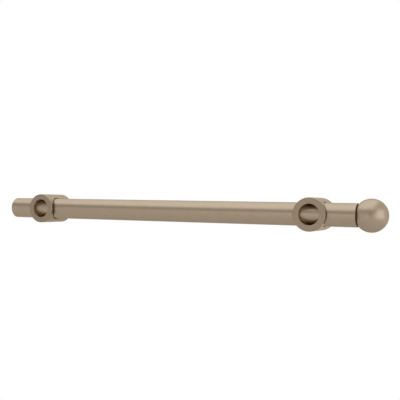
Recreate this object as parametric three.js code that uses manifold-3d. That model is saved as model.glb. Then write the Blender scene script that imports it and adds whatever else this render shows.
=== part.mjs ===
// Closet valet rod, in millimetres.
//
// Two round posts hold a tube off a cabinet's side panel, and a ball-ended rod slides
// out of the tube to hang garments on. X runs along the tube towards the ball, -Y points
// out of the panel and Z is up. The origin lies on the panel's surface, halfway between
// the two posts.

import * as THREE from 'three';
import { mergeVertices } from 'three/addons/utils/BufferGeometryUtils.js';
import Module from 'manifold-3d';

const wasm = await Module();
wasm.setup();

// Sides of a round surface: large pieces, small pieces, a rubber ring's section, a
// screw head's rounded edge and a hexagon socket
const ROUND_STEPS = 40;
const SMALL_STEPS = 24;
const SECTION_STEPS = 8;
const HEAD_ROUND_STEPS = 3;
const HEX_STEPS = 6;

// Clearances
const PRESS_CLEARANCE = 0.05;
const RUNNING_CLEARANCE = 0.15;
const THREAD_CLEARANCE = 0.05;
const SEAT_GAP = 0.05;
const CUT_OVERRUN = 2;

// Tube and where the posts hold it: the posts' spacing is seven steps of the 32 mm row
// of holes that cabinet panels are drilled with
const TUBE_OD = 15.9;
const TUBE_WALL = 1.0;
const TUBE_MOUTH_BEVEL = 0.4;
const REAR_OVERHANG = 32.3;
const POST_SPACING = 224;
const FRONT_OVERHANG = 30.25;

// Posts
const POST_WALL = 3.25;
const POST_RIM = 4.25;
const POST_COVER = 2.4;
const POST_FLOOR = 4.0;
const POST_FRONT_BEVEL = 0.5;
const POST_BORE_BEVEL = 0.3;
const POST_BACK_BEVEL = 0.3;
const POST_MOUTH_RELIEF = 0.3;
const POST_MOUTH_DEPTH = 1.2;

// Mounting screws: pan heads on the posts' floors, threads in the panel
const SCREW_THREAD_D = 4.2;
const SCREW_HEAD_RIM = 1.9;
const SCREW_HEAD_HEIGHT = 2.4;
const SCREW_HEAD_GAP = 1.7;
const SCREW_HEAD_ROUND = 1.2;
const SCREW_HOLE_CLEARANCE = 0.3;
const SCREW_IN_PANEL = 12;
const SCREW_TIP_LENGTH = 3.5;
const SCREW_TIP_D = 0.6;
const SCREW_RECESS_SPAN = 4.2;
const SCREW_RECESS_WIDTH = 1.1;
const SCREW_RECESS_DEPTH = 1.4;

// Set screws, from underneath, with a hexagon socket
const SET_SCREW_D = 4;
const SET_SCREW_SINK = 0.3;
const SET_SCREW_TIP_BEVEL = 0.6;
const SET_SCREW_SOCKET_D = 2.3;
const SET_SCREW_SOCKET_DEPTH = 1.2;

// Guide bush in the tube's mouth
const BUSH_WALL = 0.75;
const BUSH_LENGTH = 28;
const BUSH_FLANGE = 0.85;
const BUSH_FLANGE_INSET = 0.45;

// Plug in the tube's rear end
const PLUG_LENGTH = 8;
const PLUG_WALL = 1.5;
const PLUG_END = 2.0;

// Slider and what it carries
const SLIDER_LENGTH = 30;
const SLIDER_REAR_ROOM = 3.55;
const SLIDER_CLEARANCE = 0.15;
const SLIDER_EDGE_BEVEL = 0.6;
const RING_SECTION = 1.8;
const RING_SIDE_CLEARANCE = 0.2;
const RING_SPACING = 14;
const RING_FROM_FRONT = 5;
const BUFFER_THICKNESS = 1.5;
const BUFFER_CLEARANCE = 0.1;
const STOP_GAP = 0.45;

// Pivot screw that the slider turns on
const PIVOT_SHOULDER_D = 5;
const PIVOT_THREAD_STEP = 0.5;
const PIVOT_THREAD_LENGTH = 10;
const PIVOT_HEAD_RIM = 1.25;
const PIVOT_HEAD_HEIGHT = 3;
const PIVOT_HEAD_SINK = 0.5;
const PIVOT_SOCKET_D = 3.4;
const PIVOT_SOCKET_DEPTH = 1.6;
const PIVOT_WASHER_RIM = 0.55;
const PIVOT_WASHER_THICKNESS = 0.8;
const COUNTERBORE_CLEARANCE = 0.2;

// Inner rod, its inserts and the stud of the ball
const ROD_WALL = 1.0;
const ROD_END_PLAY = 0.3;
const INSERT_LENGTH = 12;
const INSERT_WALL = 1.9;
const STUD_IN_INSERT = 9;
const STUD_IN_KNOB = 9;
const STUD_TIP_GAP = 0.5;
const STUD_END_BEVEL = 0.6;

// Ball knob, cut flat where it is as wide as the tube
const KNOB_RIM = 3.15;
const KNOB_EDGE_BEVEL = 0.25;
const KNOB_SOCKET_DEPTH = 4;
const KNOB_ARC_STEPS = 14;

// Radii that follow
const tubeRadius = TUBE_OD / 2;
const tubeBoreRadius = tubeRadius - TUBE_WALL;
const postHoleRadius = tubeRadius + RUNNING_CLEARANCE;
const postRadius = postHoleRadius + POST_WALL;
const postBoreRadius = postRadius - POST_RIM;
const rodRadius = tubeBoreRadius - PRESS_CLEARANCE - BUSH_WALL - RUNNING_CLEARANCE;
const rodBoreRadius = rodRadius - ROD_WALL;
const insertRadius = rodBoreRadius - PRESS_CLEARANCE;
const studRadius = insertRadius - INSERT_WALL - THREAD_CLEARANCE;
const sliderRadius = tubeBoreRadius - SLIDER_CLEARANCE;
const pivotHeadRadius = PIVOT_SHOULDER_D / 2 + PIVOT_HEAD_RIM;
const pivotWasherRadius = pivotHeadRadius + PIVOT_WASHER_RIM;
const pivotThreadRadius = PIVOT_SHOULDER_D / 2 - PIVOT_THREAD_STEP;
const knobRadius = tubeRadius + KNOB_RIM;
const knobBack = Math.sqrt(knobRadius ** 2 - tubeRadius ** 2);

// Places that follow, measured from the panel
const tubeFromPanel = POST_FLOOR + SCREW_HEAD_HEIGHT + SCREW_HEAD_GAP + tubeRadius;
const postHeight = tubeFromPanel + tubeRadius + POST_COVER;

// Places that follow, measured along the tube
const rearPostAt = -POST_SPACING / 2;
const frontPostAt = POST_SPACING / 2;
const tubeRearAt = rearPostAt - REAR_OVERHANG;
const tubeFrontAt = frontPostAt + FRONT_OVERHANG;
const bushRearAt = tubeFrontAt - BUSH_LENGTH;
const sliderRearAt = tubeRearAt + PLUG_LENGTH + SLIDER_REAR_ROOM;
const sliderFrontAt = sliderRearAt + SLIDER_LENGTH;
const bufferRearAt = sliderFrontAt + SEAT_GAP;
const bufferFrontAt = bufferRearAt + BUFFER_THICKNESS;
const rodRearAt = sliderFrontAt + ROD_END_PLAY;
const knobBackAt = tubeFrontAt + BUSH_FLANGE + SEAT_GAP;
const rodFrontAt = knobBackAt + KNOB_SOCKET_DEPTH - SEAT_GAP;
const travel = bushRearAt - bufferFrontAt - STOP_GAP;

// Materials
const satinNickel = metal(0xa08e76, 0.38);
const platedSteel = metal(0xb9bbba, 0.4);
const blackNylon = plain(0x1c1a18, 0.6);
const paleNylon = plain(0xd9d4c6, 0.55);
const blackRubber = plain(0x161616, 0.85);

function metal(color, roughness) {
  return new THREE.MeshStandardMaterial({ color, roughness, metalness: 1 });
}

function plain(color, roughness) {
  return new THREE.MeshStandardMaterial({ color, roughness, metalness: 0 });
}

// The corner radius of a round hole whose flat sides lie at the given radius
function hole(radius, steps = ROUND_STEPS) {
  return radius / Math.cos(Math.PI / steps);
}

// A solid of revolution about its own Y, from [radius, height] points that run upwards
// on the outside
function turned(outline, steps = ROUND_STEPS) {
  const points = outline.map(([radius, height]) => new THREE.Vector2(radius, height));
  return new THREE.LatheGeometry(points, steps);
}

// A turned ring with square edges
function ring(inner, outer, from, to, steps = ROUND_STEPS) {
  const bore = hole(inner, steps);
  return turned([[bore, from], [outer, from], [outer, to], [bore, to], [bore, from]], steps);
}

// Points of a screw head's rounded edge, from its top face out to its side
function roundedEdge(centreRadius, centreHeight, round) {
  return Array.from({ length: HEAD_ROUND_STEPS + 1 }, (_, i) => {
    const angle = (i / HEAD_ROUND_STEPS - 1) * (Math.PI / 2);
    return [centreRadius + round * Math.cos(angle), centreHeight + round * Math.sin(angle)];
  });
}

// A geometry as a solid that can be cut: shared corners merged, empty triangles left out
function solid(geometry) {
  const bare = geometry.clone();
  bare.deleteAttribute('normal');
  bare.deleteAttribute('uv');
  const merged = mergeVertices(bare);
  const corners = Array.from(merged.index.array);
  const kept = [];
  for (let i = 0; i < corners.length; i += 3) {
    const [a, b, c] = corners.slice(i, i + 3);
    if (a !== b && b !== c && c !== a) {
      kept.push(a, b, c);
    }
  }
  return new wasm.Manifold(new wasm.Mesh({
    numProp: 3,
    vertProperties: new Float32Array(merged.attributes.position.array),
    triVerts: new Uint32Array(kept),
  }));
}

// A solid's surface as a geometry
function surface(body) {
  const mesh = body.getMesh();
  const geometry = new THREE.BufferGeometry();
  geometry.setAttribute('position', new THREE.BufferAttribute(mesh.vertProperties, 3));
  geometry.setIndex(new THREE.BufferAttribute(mesh.triVerts, 1));
  const flat = geometry.toNonIndexed();
  flat.computeVertexNormals();
  return flat;
}

function cylinderAlongX(radius, length, height) {
  const geometry = new THREE.CylinderGeometry(radius, radius, length, ROUND_STEPS);
  return solid(geometry.rotateZ(Math.PI / 2).translate(0, height, 0));
}

function cylinderAlongY(radius, from, to, steps = ROUND_STEPS) {
  const geometry = new THREE.CylinderGeometry(radius, radius, to - from, steps);
  return solid(geometry.translate(0, (from + to) / 2, 0));
}

function cylinderAlongZ(radius, from, to, height) {
  const geometry = new THREE.CylinderGeometry(radius, radius, to - from, SMALL_STEPS);
  return solid(geometry.rotateX(Math.PI / 2).translate(0, height, (from + to) / 2));
}

function place(parent, name, geometry, material, at) {
  const mesh = new THREE.Mesh(geometry, material);
  mesh.name = name;
  mesh.position.copy(at);
  parent.add(mesh);
  return mesh;
}

// A post stands on the panel at Y = 0 and reaches out to -postHeight
function postGeometry() {
  const screwHole = hole(SCREW_THREAD_D / 2 + SCREW_HOLE_CLEARANCE);
  const bore = hole(postBoreRadius);
  const front = -postHeight;
  const body = solid(turned([
    [screwHole, -POST_FLOOR],
    [bore, -POST_FLOOR],
    [bore, front + POST_BORE_BEVEL],
    [bore + POST_BORE_BEVEL, front],
    [postRadius - POST_FRONT_BEVEL, front],
    [postRadius, front + POST_FRONT_BEVEL],
    [postRadius, -POST_BACK_BEVEL],
    [postRadius - POST_BACK_BEVEL, 0],
    [screwHole, 0],
    [screwHole, -POST_FLOOR],
  ]));
  const crossing = 2 * (postRadius + CUT_OVERRUN);
  const crossHole = cylinderAlongX(hole(postHoleRadius), crossing, -tubeFromPanel);
  const wideHole = cylinderAlongX(
    hole(postHoleRadius + POST_MOUTH_RELIEF), crossing, -tubeFromPanel,
  );
  const core = cylinderAlongY(
    postRadius - POST_MOUTH_DEPTH, front - CUT_OVERRUN, CUT_OVERRUN,
  );
  const setScrewHole = cylinderAlongZ(
    hole(SET_SCREW_D / 2 + THREAD_CLEARANCE, SMALL_STEPS),
    -postRadius - CUT_OVERRUN, -tubeRadius, -tubeFromPanel,
  );
  return surface(
    body.subtract(crossHole).subtract(wideHole.subtract(core)).subtract(setScrewHole),
  );
}

// A pan-head screw along Y, its head towards -Y, seated on the post's floor
function mountingScrewGeometry() {
  const thread = SCREW_THREAD_D / 2;
  const head = thread + SCREW_HEAD_RIM;
  const seat = -POST_FLOOR - SEAT_GAP;
  const top = seat - SCREW_HEAD_HEIGHT;
  const tip = SCREW_IN_PANEL;
  const body = solid(turned([
    [0, top],
    ...roundedEdge(head - SCREW_HEAD_ROUND, top + SCREW_HEAD_ROUND, SCREW_HEAD_ROUND),
    [head, seat],
    [thread, seat],
    [thread, tip - SCREW_TIP_LENGTH],
    [SCREW_TIP_D / 2, tip],
    [0, tip],
  ], SMALL_STEPS));
  const slot = new THREE.BoxGeometry(
    SCREW_RECESS_SPAN, SCREW_RECESS_DEPTH + CUT_OVERRUN, SCREW_RECESS_WIDTH,
  );
  slot.translate(0, top + (SCREW_RECESS_DEPTH - CUT_OVERRUN) / 2, 0);
  const cross = solid(slot).add(solid(slot.clone().rotateY(Math.PI / 2)));
  return surface(body.subtract(cross));
}

// A grub screw along Y, from its tip on the tube to its socket in the post's side
function setScrewGeometry() {
  const radius = SET_SCREW_D / 2;
  const tip = tubeRadius + SEAT_GAP;
  const end = postRadius - SET_SCREW_SINK;
  const body = solid(turned([
    [0, tip],
    [radius - SET_SCREW_TIP_BEVEL, tip],
    [radius, tip + SET_SCREW_TIP_BEVEL],
    [radius, end],
    [0, end],
  ], SMALL_STEPS));
  const socket = cylinderAlongY(
    SET_SCREW_SOCKET_D / 2, end - SET_SCREW_SOCKET_DEPTH, end + CUT_OVERRUN, HEX_STEPS,
  );
  return surface(body.subtract(socket));
}

function addPost(rod, side, along) {
  place(rod, `${side}_post`, postGeometry(), satinNickel, new THREE.Vector3(along, 0, 0));
  const atPost = new THREE.Vector3(along, 0, 0);
  place(rod, `${side}_mounting_screw`, mountingScrewGeometry(), platedSteel, atPost);
  const onAxis = new THREE.Vector3(along, -tubeFromPanel, 0);
  const setScrew = place(rod, `${side}_set_screw`, setScrewGeometry(), platedSteel, onAxis);
  setScrew.rotation.x = -Math.PI / 2;
}

// The pieces on the tube's axis are turned about Y, which their group lays along X
function outerTubeGeometry() {
  const bore = hole(tubeBoreRadius);
  return turned([
    [bore, tubeRearAt],
    [tubeRadius, tubeRearAt],
    [tubeRadius, tubeFrontAt - TUBE_MOUTH_BEVEL],
    [tubeRadius - TUBE_MOUTH_BEVEL, tubeFrontAt],
    [bore, tubeFrontAt],
    [bore, tubeRearAt],
  ]);
}

function guideBushGeometry() {
  const bore = hole(rodRadius + RUNNING_CLEARANCE);
  const body = tubeBoreRadius - PRESS_CLEARANCE;
  const flange = tubeRadius - BUSH_FLANGE_INSET;
  return turned([
    [bore, bushRearAt],
    [body, bushRearAt],
    [body, tubeFrontAt],
    [flange, tubeFrontAt],
    [flange, tubeFrontAt + BUSH_FLANGE],
    [bore, tubeFrontAt + BUSH_FLANGE],
    [bore, bushRearAt],
  ]);
}

function rearPlugGeometry() {
  const body = tubeBoreRadius - PRESS_CLEARANCE;
  const front = tubeRearAt + PLUG_LENGTH;
  return turned([
    [0, tubeRearAt],
    [body, tubeRearAt],
    [body, front],
    [body - PLUG_WALL, front],
    [body - PLUG_WALL, tubeRearAt + PLUG_END],
    [0, tubeRearAt + PLUG_END],
  ]);
}

// The rubber rings all but touch the tube's bore and seat in the slider's grooves
const ringOuterRadius = tubeBoreRadius - PRESS_CLEARANCE;
const ringCentreRadius = ringOuterRadius - RING_SECTION / 2;
const grooveFloorRadius = (ringOuterRadius - RING_SECTION) / hole(1) - PRESS_CLEARANCE;
const frontRingAt = sliderFrontAt - RING_FROM_FRONT;
const rearRingAt = frontRingAt - RING_SPACING;

function frictionRingGeometry(along) {
  const section = Array.from({ length: SECTION_STEPS + 1 }, (_, i) => {
    const angle = ((i % SECTION_STEPS) / SECTION_STEPS) * 2 * Math.PI;
    return [
      ringCentreRadius + (RING_SECTION / 2) * Math.cos(angle),
      along + (RING_SECTION / 2) * Math.sin(angle),
    ];
  });
  return turned(section);
}

// Where the pivot screw's head and washer sit in the slider's rear
const headRearAt = sliderRearAt + PIVOT_HEAD_SINK;
const headFrontAt = headRearAt + PIVOT_HEAD_HEIGHT;
const washerRearAt = headFrontAt + SEAT_GAP;
const washerFrontAt = washerRearAt + PIVOT_WASHER_THICKNESS;
const counterboreFloorAt = washerFrontAt + SEAT_GAP;

function sliderGeometry() {
  const pivotBore = hole(PIVOT_SHOULDER_D / 2 + RUNNING_CLEARANCE);
  const counterbore = hole(pivotWasherRadius + COUNTERBORE_CLEARANCE);
  const grooveHalf = RING_SECTION / 2 + RING_SIDE_CLEARANCE;
  const grooves = [rearRingAt, frontRingAt].flatMap((along) => [
    [sliderRadius, along - grooveHalf],
    [grooveFloorRadius, along - grooveHalf],
    [grooveFloorRadius, along + grooveHalf],
    [sliderRadius, along + grooveHalf],
  ]);
  return turned([
    [pivotBore, counterboreFloorAt],
    [counterbore, counterboreFloorAt],
    [counterbore, sliderRearAt],
    [sliderRadius - SLIDER_EDGE_BEVEL, sliderRearAt],
    [sliderRadius, sliderRearAt + SLIDER_EDGE_BEVEL],
    ...grooves,
    [sliderRadius, sliderFrontAt],
    [pivotBore, sliderFrontAt],
    [pivotBore, counterboreFloorAt],
  ]);
}

function stopBufferGeometry() {
  return ring(rodRadius + BUFFER_CLEARANCE, sliderRadius, bufferRearAt, bufferFrontAt);
}

// A shoulder screw: its head bears on the washer and its shoulder on the rear insert
function pivotScrewGeometry() {
  const shoulder = PIVOT_SHOULDER_D / 2;
  const shoulderFrontAt = rodRearAt - SEAT_GAP;
  const body = solid(turned([
    [0, headRearAt],
    [pivotHeadRadius, headRearAt],
    [pivotHeadRadius, headFrontAt],
    [shoulder, headFrontAt],
    [shoulder, shoulderFrontAt],
    [pivotThreadRadius, shoulderFrontAt],
    [pivotThreadRadius, shoulderFrontAt + PIVOT_THREAD_LENGTH],
    [0, shoulderFrontAt + PIVOT_THREAD_LENGTH],
  ], SMALL_STEPS));
  const socket = cylinderAlongY(
    PIVOT_SOCKET_D / 2, headRearAt - CUT_OVERRUN, headRearAt + PIVOT_SOCKET_DEPTH, HEX_STEPS,
  );
  return surface(body.subtract(socket));
}

function pivotWasherGeometry() {
  const inner = PIVOT_SHOULDER_D / 2 + RUNNING_CLEARANCE;
  return ring(inner, pivotWasherRadius, washerRearAt, washerFrontAt);
}

function innerRodGeometry() {
  return ring(rodBoreRadius, rodRadius, rodRearAt, rodFrontAt);
}

function insertGeometry(threadRadius, from) {
  return ring(threadRadius + THREAD_CLEARANCE, insertRadius, from, from + INSERT_LENGTH);
}

function knobStudGeometry() {
  const rear = rodFrontAt - STUD_IN_INSERT;
  const front = rodFrontAt + STUD_IN_KNOB;
  return turned([
    [0, rear],
    [studRadius - STUD_END_BEVEL, rear],
    [studRadius, rear + STUD_END_BEVEL],
    [studRadius, front - STUD_END_BEVEL],
    [studRadius - STUD_END_BEVEL, front],
    [0, front],
  ], SMALL_STEPS);
}

// The ball's outline starts in its threaded hole and ends at its far pole
function ballKnobGeometry() {
  const centre = knobBackAt + knobBack;
  const socket = hole(rodRadius + RUNNING_CLEARANCE);
  const threadHole = hole(studRadius + THREAD_CLEARANCE);
  const socketFloorAt = knobBackAt + KNOB_SOCKET_DEPTH;
  const threadEndAt = rodFrontAt + STUD_IN_KNOB + STUD_TIP_GAP;
  const edgeAngle = Math.asin((knobBack - KNOB_EDGE_BEVEL) / knobRadius);
  const arc = Array.from({ length: KNOB_ARC_STEPS }, (_, i) => {
    const angle = -edgeAngle + (i / KNOB_ARC_STEPS) * (edgeAngle + Math.PI / 2);
    return [knobRadius * Math.cos(angle), centre + knobRadius * Math.sin(angle)];
  });
  return turned([
    [0, threadEndAt],
    [threadHole, threadEndAt],
    [threadHole, socketFloorAt],
    [socket, socketFloorAt],
    [socket, knobBackAt],
    [tubeRadius - KNOB_EDGE_BEVEL, knobBackAt],
    ...arc,
    [0, centre + knobRadius],
  ]);
}

function buildRod() {
  const rod = new THREE.Group();
  addPost(rod, 'rear', rearPostAt);
  addPost(rod, 'front', frontPostAt);

  const onAxis = new THREE.Group();
  onAxis.position.set(0, -tubeFromPanel, 0);
  onAxis.rotation.z = -Math.PI / 2;
  rod.add(onAxis);

  const here = new THREE.Vector3();
  place(onAxis, 'outer_tube', outerTubeGeometry(), satinNickel, here);
  place(onAxis, 'guide_bush', guideBushGeometry(), blackNylon, here);
  place(onAxis, 'rear_plug', rearPlugGeometry(), blackNylon, here);

  place(onAxis, 'slider', sliderGeometry(), paleNylon, here);
  place(onAxis, 'rear_friction_ring', frictionRingGeometry(rearRingAt), blackRubber, here);
  place(onAxis, 'front_friction_ring', frictionRingGeometry(frontRingAt), blackRubber, here);
  place(onAxis, 'stop_buffer', stopBufferGeometry(), blackRubber, here);

  const frontInsertAt = rodFrontAt - INSERT_LENGTH;
  place(onAxis, 'pivot_screw', pivotScrewGeometry(), platedSteel, here);
  place(onAxis, 'pivot_washer', pivotWasherGeometry(), platedSteel, here);
  place(onAxis, 'rear_insert', insertGeometry(pivotThreadRadius, rodRearAt), platedSteel, here);
  place(onAxis, 'inner_rod', innerRodGeometry(), satinNickel, here);
  place(onAxis, 'front_insert', insertGeometry(studRadius, frontInsertAt), platedSteel, here);
  place(onAxis, 'knob_stud', knobStudGeometry(), platedSteel, here);
  place(onAxis, 'ball_knob', ballKnobGeometry(), satinNickel, here);
  return rod;
}

console.log(`The rod slides out ${travel.toFixed(1)} mm; tube axis at ${tubeFromPanel} mm`);

const group = buildRod();

export default group;
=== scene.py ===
"""Closet valet rod: the look of every piece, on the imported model's own places.

Lengths are millimetres until a mesh is made. X runs along the tube towards the ball, -Y out of
the panel and Z up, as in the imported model.
"""

import bmesh
import bpy
import numpy as np
from mathutils import Matrix, Vector


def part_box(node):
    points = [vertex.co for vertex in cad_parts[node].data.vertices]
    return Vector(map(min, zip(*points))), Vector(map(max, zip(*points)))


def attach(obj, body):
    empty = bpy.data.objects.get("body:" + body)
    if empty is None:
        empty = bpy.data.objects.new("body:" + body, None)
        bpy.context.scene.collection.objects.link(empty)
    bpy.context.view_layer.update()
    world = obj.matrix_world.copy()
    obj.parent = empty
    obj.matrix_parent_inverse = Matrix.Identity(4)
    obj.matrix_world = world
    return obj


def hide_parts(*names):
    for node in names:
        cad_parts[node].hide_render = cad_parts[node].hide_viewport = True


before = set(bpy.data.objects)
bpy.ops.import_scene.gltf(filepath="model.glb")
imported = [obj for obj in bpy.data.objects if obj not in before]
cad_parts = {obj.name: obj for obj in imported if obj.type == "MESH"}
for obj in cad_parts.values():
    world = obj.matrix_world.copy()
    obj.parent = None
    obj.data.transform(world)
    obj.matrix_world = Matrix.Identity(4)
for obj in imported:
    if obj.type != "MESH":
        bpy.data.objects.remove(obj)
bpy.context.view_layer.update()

MM = 0.001
X, Y, Z = np.eye(3)

# Finish: colour seen straight on, and tint of its glancing reflections
TUBE_COLOUR = (0.336, 0.261, 0.184)
TUBE_EDGE_TINT = (0.64, 0.6, 0.54)
POST_COLOUR = (0.262, 0.201, 0.141)
POST_EDGE_TINT = (0.9, 0.81, 0.68)
SATIN_ROUGHNESS = 0.34
PLATE_METALLIC = 0.94
# Painted light in the posts' bores: a paler colour and a lower metallic there stand in for the
# light that bounces about inside them
BORE_PAINTED_LIGHT_COLOUR = (0.348, 0.256, 0.152)
BORE_PAINTED_LIGHT_METALLIC = 0.87

# Satin nickel: its noises, per millimetre, and how far they move tone, roughness and relief
SATIN_MARKS = {"scale": 9.0, "detail": 3.0, "roughness": 0.6}
SATIN_CLOUD = {"scale": 0.16, "detail": 3.0, "roughness": 0.55}
SATIN_GRAIN = {"scale": 14.0, "detail": 2.0, "roughness": 0.5}
SATIN_CLOUD_IN_TONE = 0.55
SATIN_GRAIN_IN_ROUGHNESS = 0.4
SATIN_GRAIN_IN_RELIEF = 0.2
SATIN_TONE_SPREAD = 0.045
SATIN_ROUGHNESS_SPREAD = 0.035
SATIN_RELIEF_MM = 0.0035
RING_WANDER = 0.35

# Zinc plate, moulded nylon and rubber
ZINC_MARKS = {"scale": 7.0, "detail": 3.0, "roughness": 0.6}
ZINC_CLOUD = {"scale": 0.9, "detail": 3.0, "roughness": 0.6}
ZINC_DARK = (0.46, 0.48, 0.5)
ZINC_LIGHT = (0.58, 0.59, 0.59)
ZINC_ROUGHNESS = (0.26, 0.4)
ZINC_RELIEF_MM = 0.006
MOULD_MOTTLE = {"scale": 0.6, "detail": 3.0, "roughness": 0.5}
MOULD_GRAIN = {"detail": 3.0, "roughness": 0.6}
MOULD_ROUGHNESS_SPREAD = 0.06
MOULD_RELIEF_MM = 0.02
MOULD_RELIEF_STRENGTH = 0.6
BLACK_NYLON = {
    "dark": (0.044, 0.03, 0.012), "light": (0.058, 0.04, 0.017),
    "roughness": 0.6, "grain_mm": 0.25, "gloss": 0.03,
}
PALE_NYLON = {
    "dark": (0.64, 0.6, 0.5), "light": (0.72, 0.68, 0.58),
    "roughness": 0.48, "grain_mm": 0.25, "gloss": 0.4,
}
BLACK_RUBBER = {
    "dark": (0.007, 0.007, 0.007), "light": (0.012, 0.012, 0.012),
    "roughness": 0.8, "grain_mm": 0.18, "gloss": 0.4,
}

# The part of a noise's range that colours and roughnesses are spread over
TONE_RANGE = (0.3, 0.7)
ROUGHNESS_RANGE = (0.25, 0.75)

# How finely surfaces are drawn
TURN_STEPS = 128
SMALL_TURN_STEPS = 48
KNURL_TURN_STEPS = 144
ROUND_STEPS = 6
BALL_STEPS = 48
SHARP_ANGLE = 38

# A point this far past a round keeps the side flat, and points closer than this are one
SUPPORT = 0.06
MERGE = 1e-7

# Post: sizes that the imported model's boxes don't give
POST_BORE_RADIUS = 7.1
POST_HOLE_RADIUS = 8.1
POST_MOUTH_RADIUS = 8.4
POST_MOUTH_DEPTH = 1.2
POST_FLOOR = 4.0
POST_SCREW_HOLE_RADIUS = 2.4
POST_FRONT_ROUND = 0.7
POST_BORE_ROUND = 0.3
POST_BACK_ROUND = 0.3
POST_MOUTH_ROUND = 0.1
SET_SCREW_HOLE_RADIUS = 2.05
POST_FACE_COLUMNS = 64
POST_SIDE_COLUMNS = 6
POST_SIDE_ROWS = 13
POST_HOLE_ROWS = 4
SET_SCREW_HOLE_COLUMNS = 16
SET_SCREW_HOLE_ROWS = 3

# Tube, bush and plug
TUBE_BORE_RADIUS = 6.95
TUBE_MOUTH_ROUND = 0.4
TUBE_CUT_ROUND = 0.15
BUSH_BODY_RADIUS = 6.9
BUSH_BORE_RADIUS = 6.15
BUSH_FLANGE = 0.85
BUSH_ROUND = 0.2
PLUG_WALL = 1.5
PLUG_END = 2.0
PLUG_ROUND = 0.4
PLUG_DIMPLE_RADIUS = 0.9
PLUG_DIMPLE_DEPTH = 0.2

# Slider and its rubber
SLIDER_BORE_RADIUS = 2.65
SLIDER_COUNTERBORE_RADIUS = 4.5
SLIDER_GROOVE_SIDE = 0.2
SLIDER_GROOVE_FLOOR = 0.06
SLIDER_ROUND = 0.6
RING_STEPS = 24

# Screws
HEAD_ROUND = 1.2
HEAD_HEIGHT = 2.4
RECESS_REACH = 2.1
RECESS_HALF_WIDTH = 0.55
RECESS_DEPTH = 1.4
RECESS_TAPER = 0.72
RECESS_STEPS = 3
WOOD_THREAD_PITCH = 1.6
WOOD_THREAD_DEPTH = 0.55
WOOD_THREAD_RADIUS = 2.1
WOOD_TIP_LENGTH = 3.5
FINE_THREAD_PITCH = 0.7
FINE_THREAD_DEPTH = 0.35
STUD_THREAD_PITCH = 1.0
STUD_THREAD_DEPTH = 0.5
THREAD_ROWS_PER_TURN = 12
THREAD_TROUGH = 2.6
THREAD_RUN_OUT = 2
POINT_REACH = 1.15
POINT_POWER = 0.8
SET_SCREW_SOCKET_FLAT = 0.996
SET_SCREW_SOCKET_DEPTH = 1.2
SET_SCREW_ROUND = 0.3
PIVOT_SHOULDER_RADIUS = 2.5
PIVOT_HEAD_HEIGHT = 3.0
PIVOT_THREAD_LENGTH = 10.0
PIVOT_THREAD_RADIUS = 2.0
PIVOT_SOCKET_FLAT = 1.472
PIVOT_SOCKET_DEPTH = 1.6
PIVOT_KNURLS = 36
KNURL_DEPTH = 0.07
KNURL_FADE = np.array([[0], [1], [1], [0]])
SMALL_ROUND = 0.15
STUD_BEVEL = 0.6

# Rod, inserts and ball
ROD_BORE_RADIUS = 5.0
REAR_INSERT_BORE_RADIUS = 2.05
FRONT_INSERT_BORE_RADIUS = 3.05
INSERT_KNURLS = 48
BALL_BACK_ROUND = 0.25
BALL_SOCKET_RADIUS = 6.15
BALL_SOCKET_DEPTH = 4.0
BALL_THREAD_RADIUS = 3.05
BALL_THREAD_END_GAP = 0.5
INSERT_BAND = 1.0
INSERT_GRIP_FROM = 1.2
WASHER_GAP = 0.05

# Floor and surroundings, in metres
FLOOR_Z = -0.3
FLOOR_RADIUS = 0.45
FLOOR_FADE_FROM = 0.24
FLOOR_COLOUR = (0.95, 0.93, 0.9)
FLOOR_ROUGHNESS = 0.9
DIFFUSE_WORLD = 0.6

# Lamps: name, place, target, size, radiance and colour
LAMPS = (
    ("overhead", (-0.45, 0.18, 0.8), (-0.45, 0.18, 0.0), (1.8, 1.84), 0.84, (0.89, 1.0, 1.14)),
    ("right", (0.996, -0.305, 0.13), (0.15, -0.016, 0.0), (1.2, 0.9), 0.88, (0.95, 1.0, 1.12)),
    ("front", (-0.09, -1.05, -0.03), (0.1, -0.015, 0.0), (0.45, 0.35), 0.4, (1.0, 1.0, 1.0)),
)

# Cards: their turns about Z in degrees, heights in metres and greys; the band's grey changes
# over the heights of its ramp
CARD_RADIUS = 1.0
CARD_STEPS = 49
BAND_TURNS = (-75, 54)
BAND_HEIGHTS = (0.28, 1.0)
BAND_GREYS = (0.55, 1.4)
BAND_RAMP = (0.5, 1.05)
REAR_TURNS = (112, 175)
REAR_HEIGHTS = (-0.5, 0.8)
REAR_GREY = 1.2
SHADE_TURNS = (2, 17)
SHADE_HEIGHTS = (-0.06, 0.28)
SHADE_GREY = 0.35

# Camera: its place from the ball's middle, its turns in degrees and its lens
CAMERA_FROM_BALL_MM = (103.29, -448.77, 7.77)
CAMERA_YAW = 26.903
CAMERA_PITCH = -0.084
CAMERA_ROLL = 0.876
CAMERA_FOCAL_PX = 692.13
CAMERA_NEAR = 0.01
PHOTO_PX = 400
SENSOR_MM = 36


def box_mm(node):
    """A node's lowest and highest corners in millimetres."""
    low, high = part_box(node)
    return np.array(low) / MM, np.array(high) / MM


# The tube's axis, as its point at x = 0, and the tube's radius
tube_low, tube_high = box_mm("outer_tube")
AXIS = np.array([0.0, (tube_low[1] + tube_high[1]) / 2, (tube_low[2] + tube_high[2]) / 2])
TUBE_RADIUS = (tube_high[2] - tube_low[2]) / 2


# Meshes

def grid_faces(rows, columns, wrap_rows, wrap_columns):
    """Quads of a grid whose points are numbered row by row; a wrapped side joins its last line
    to its first."""
    down = np.arange(rows if wrap_rows else rows - 1)
    across = np.arange(columns if wrap_columns else columns - 1)
    i, j = np.meshgrid(down, across, indexing="ij")
    below, beside = (i + 1) % rows, (j + 1) % columns
    this_row, next_row = i * columns, below * columns
    corners = [this_row + j, this_row + beside, next_row + beside, next_row + j]
    return np.stack(corners, axis=-1).reshape(-1, 4)


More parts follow.
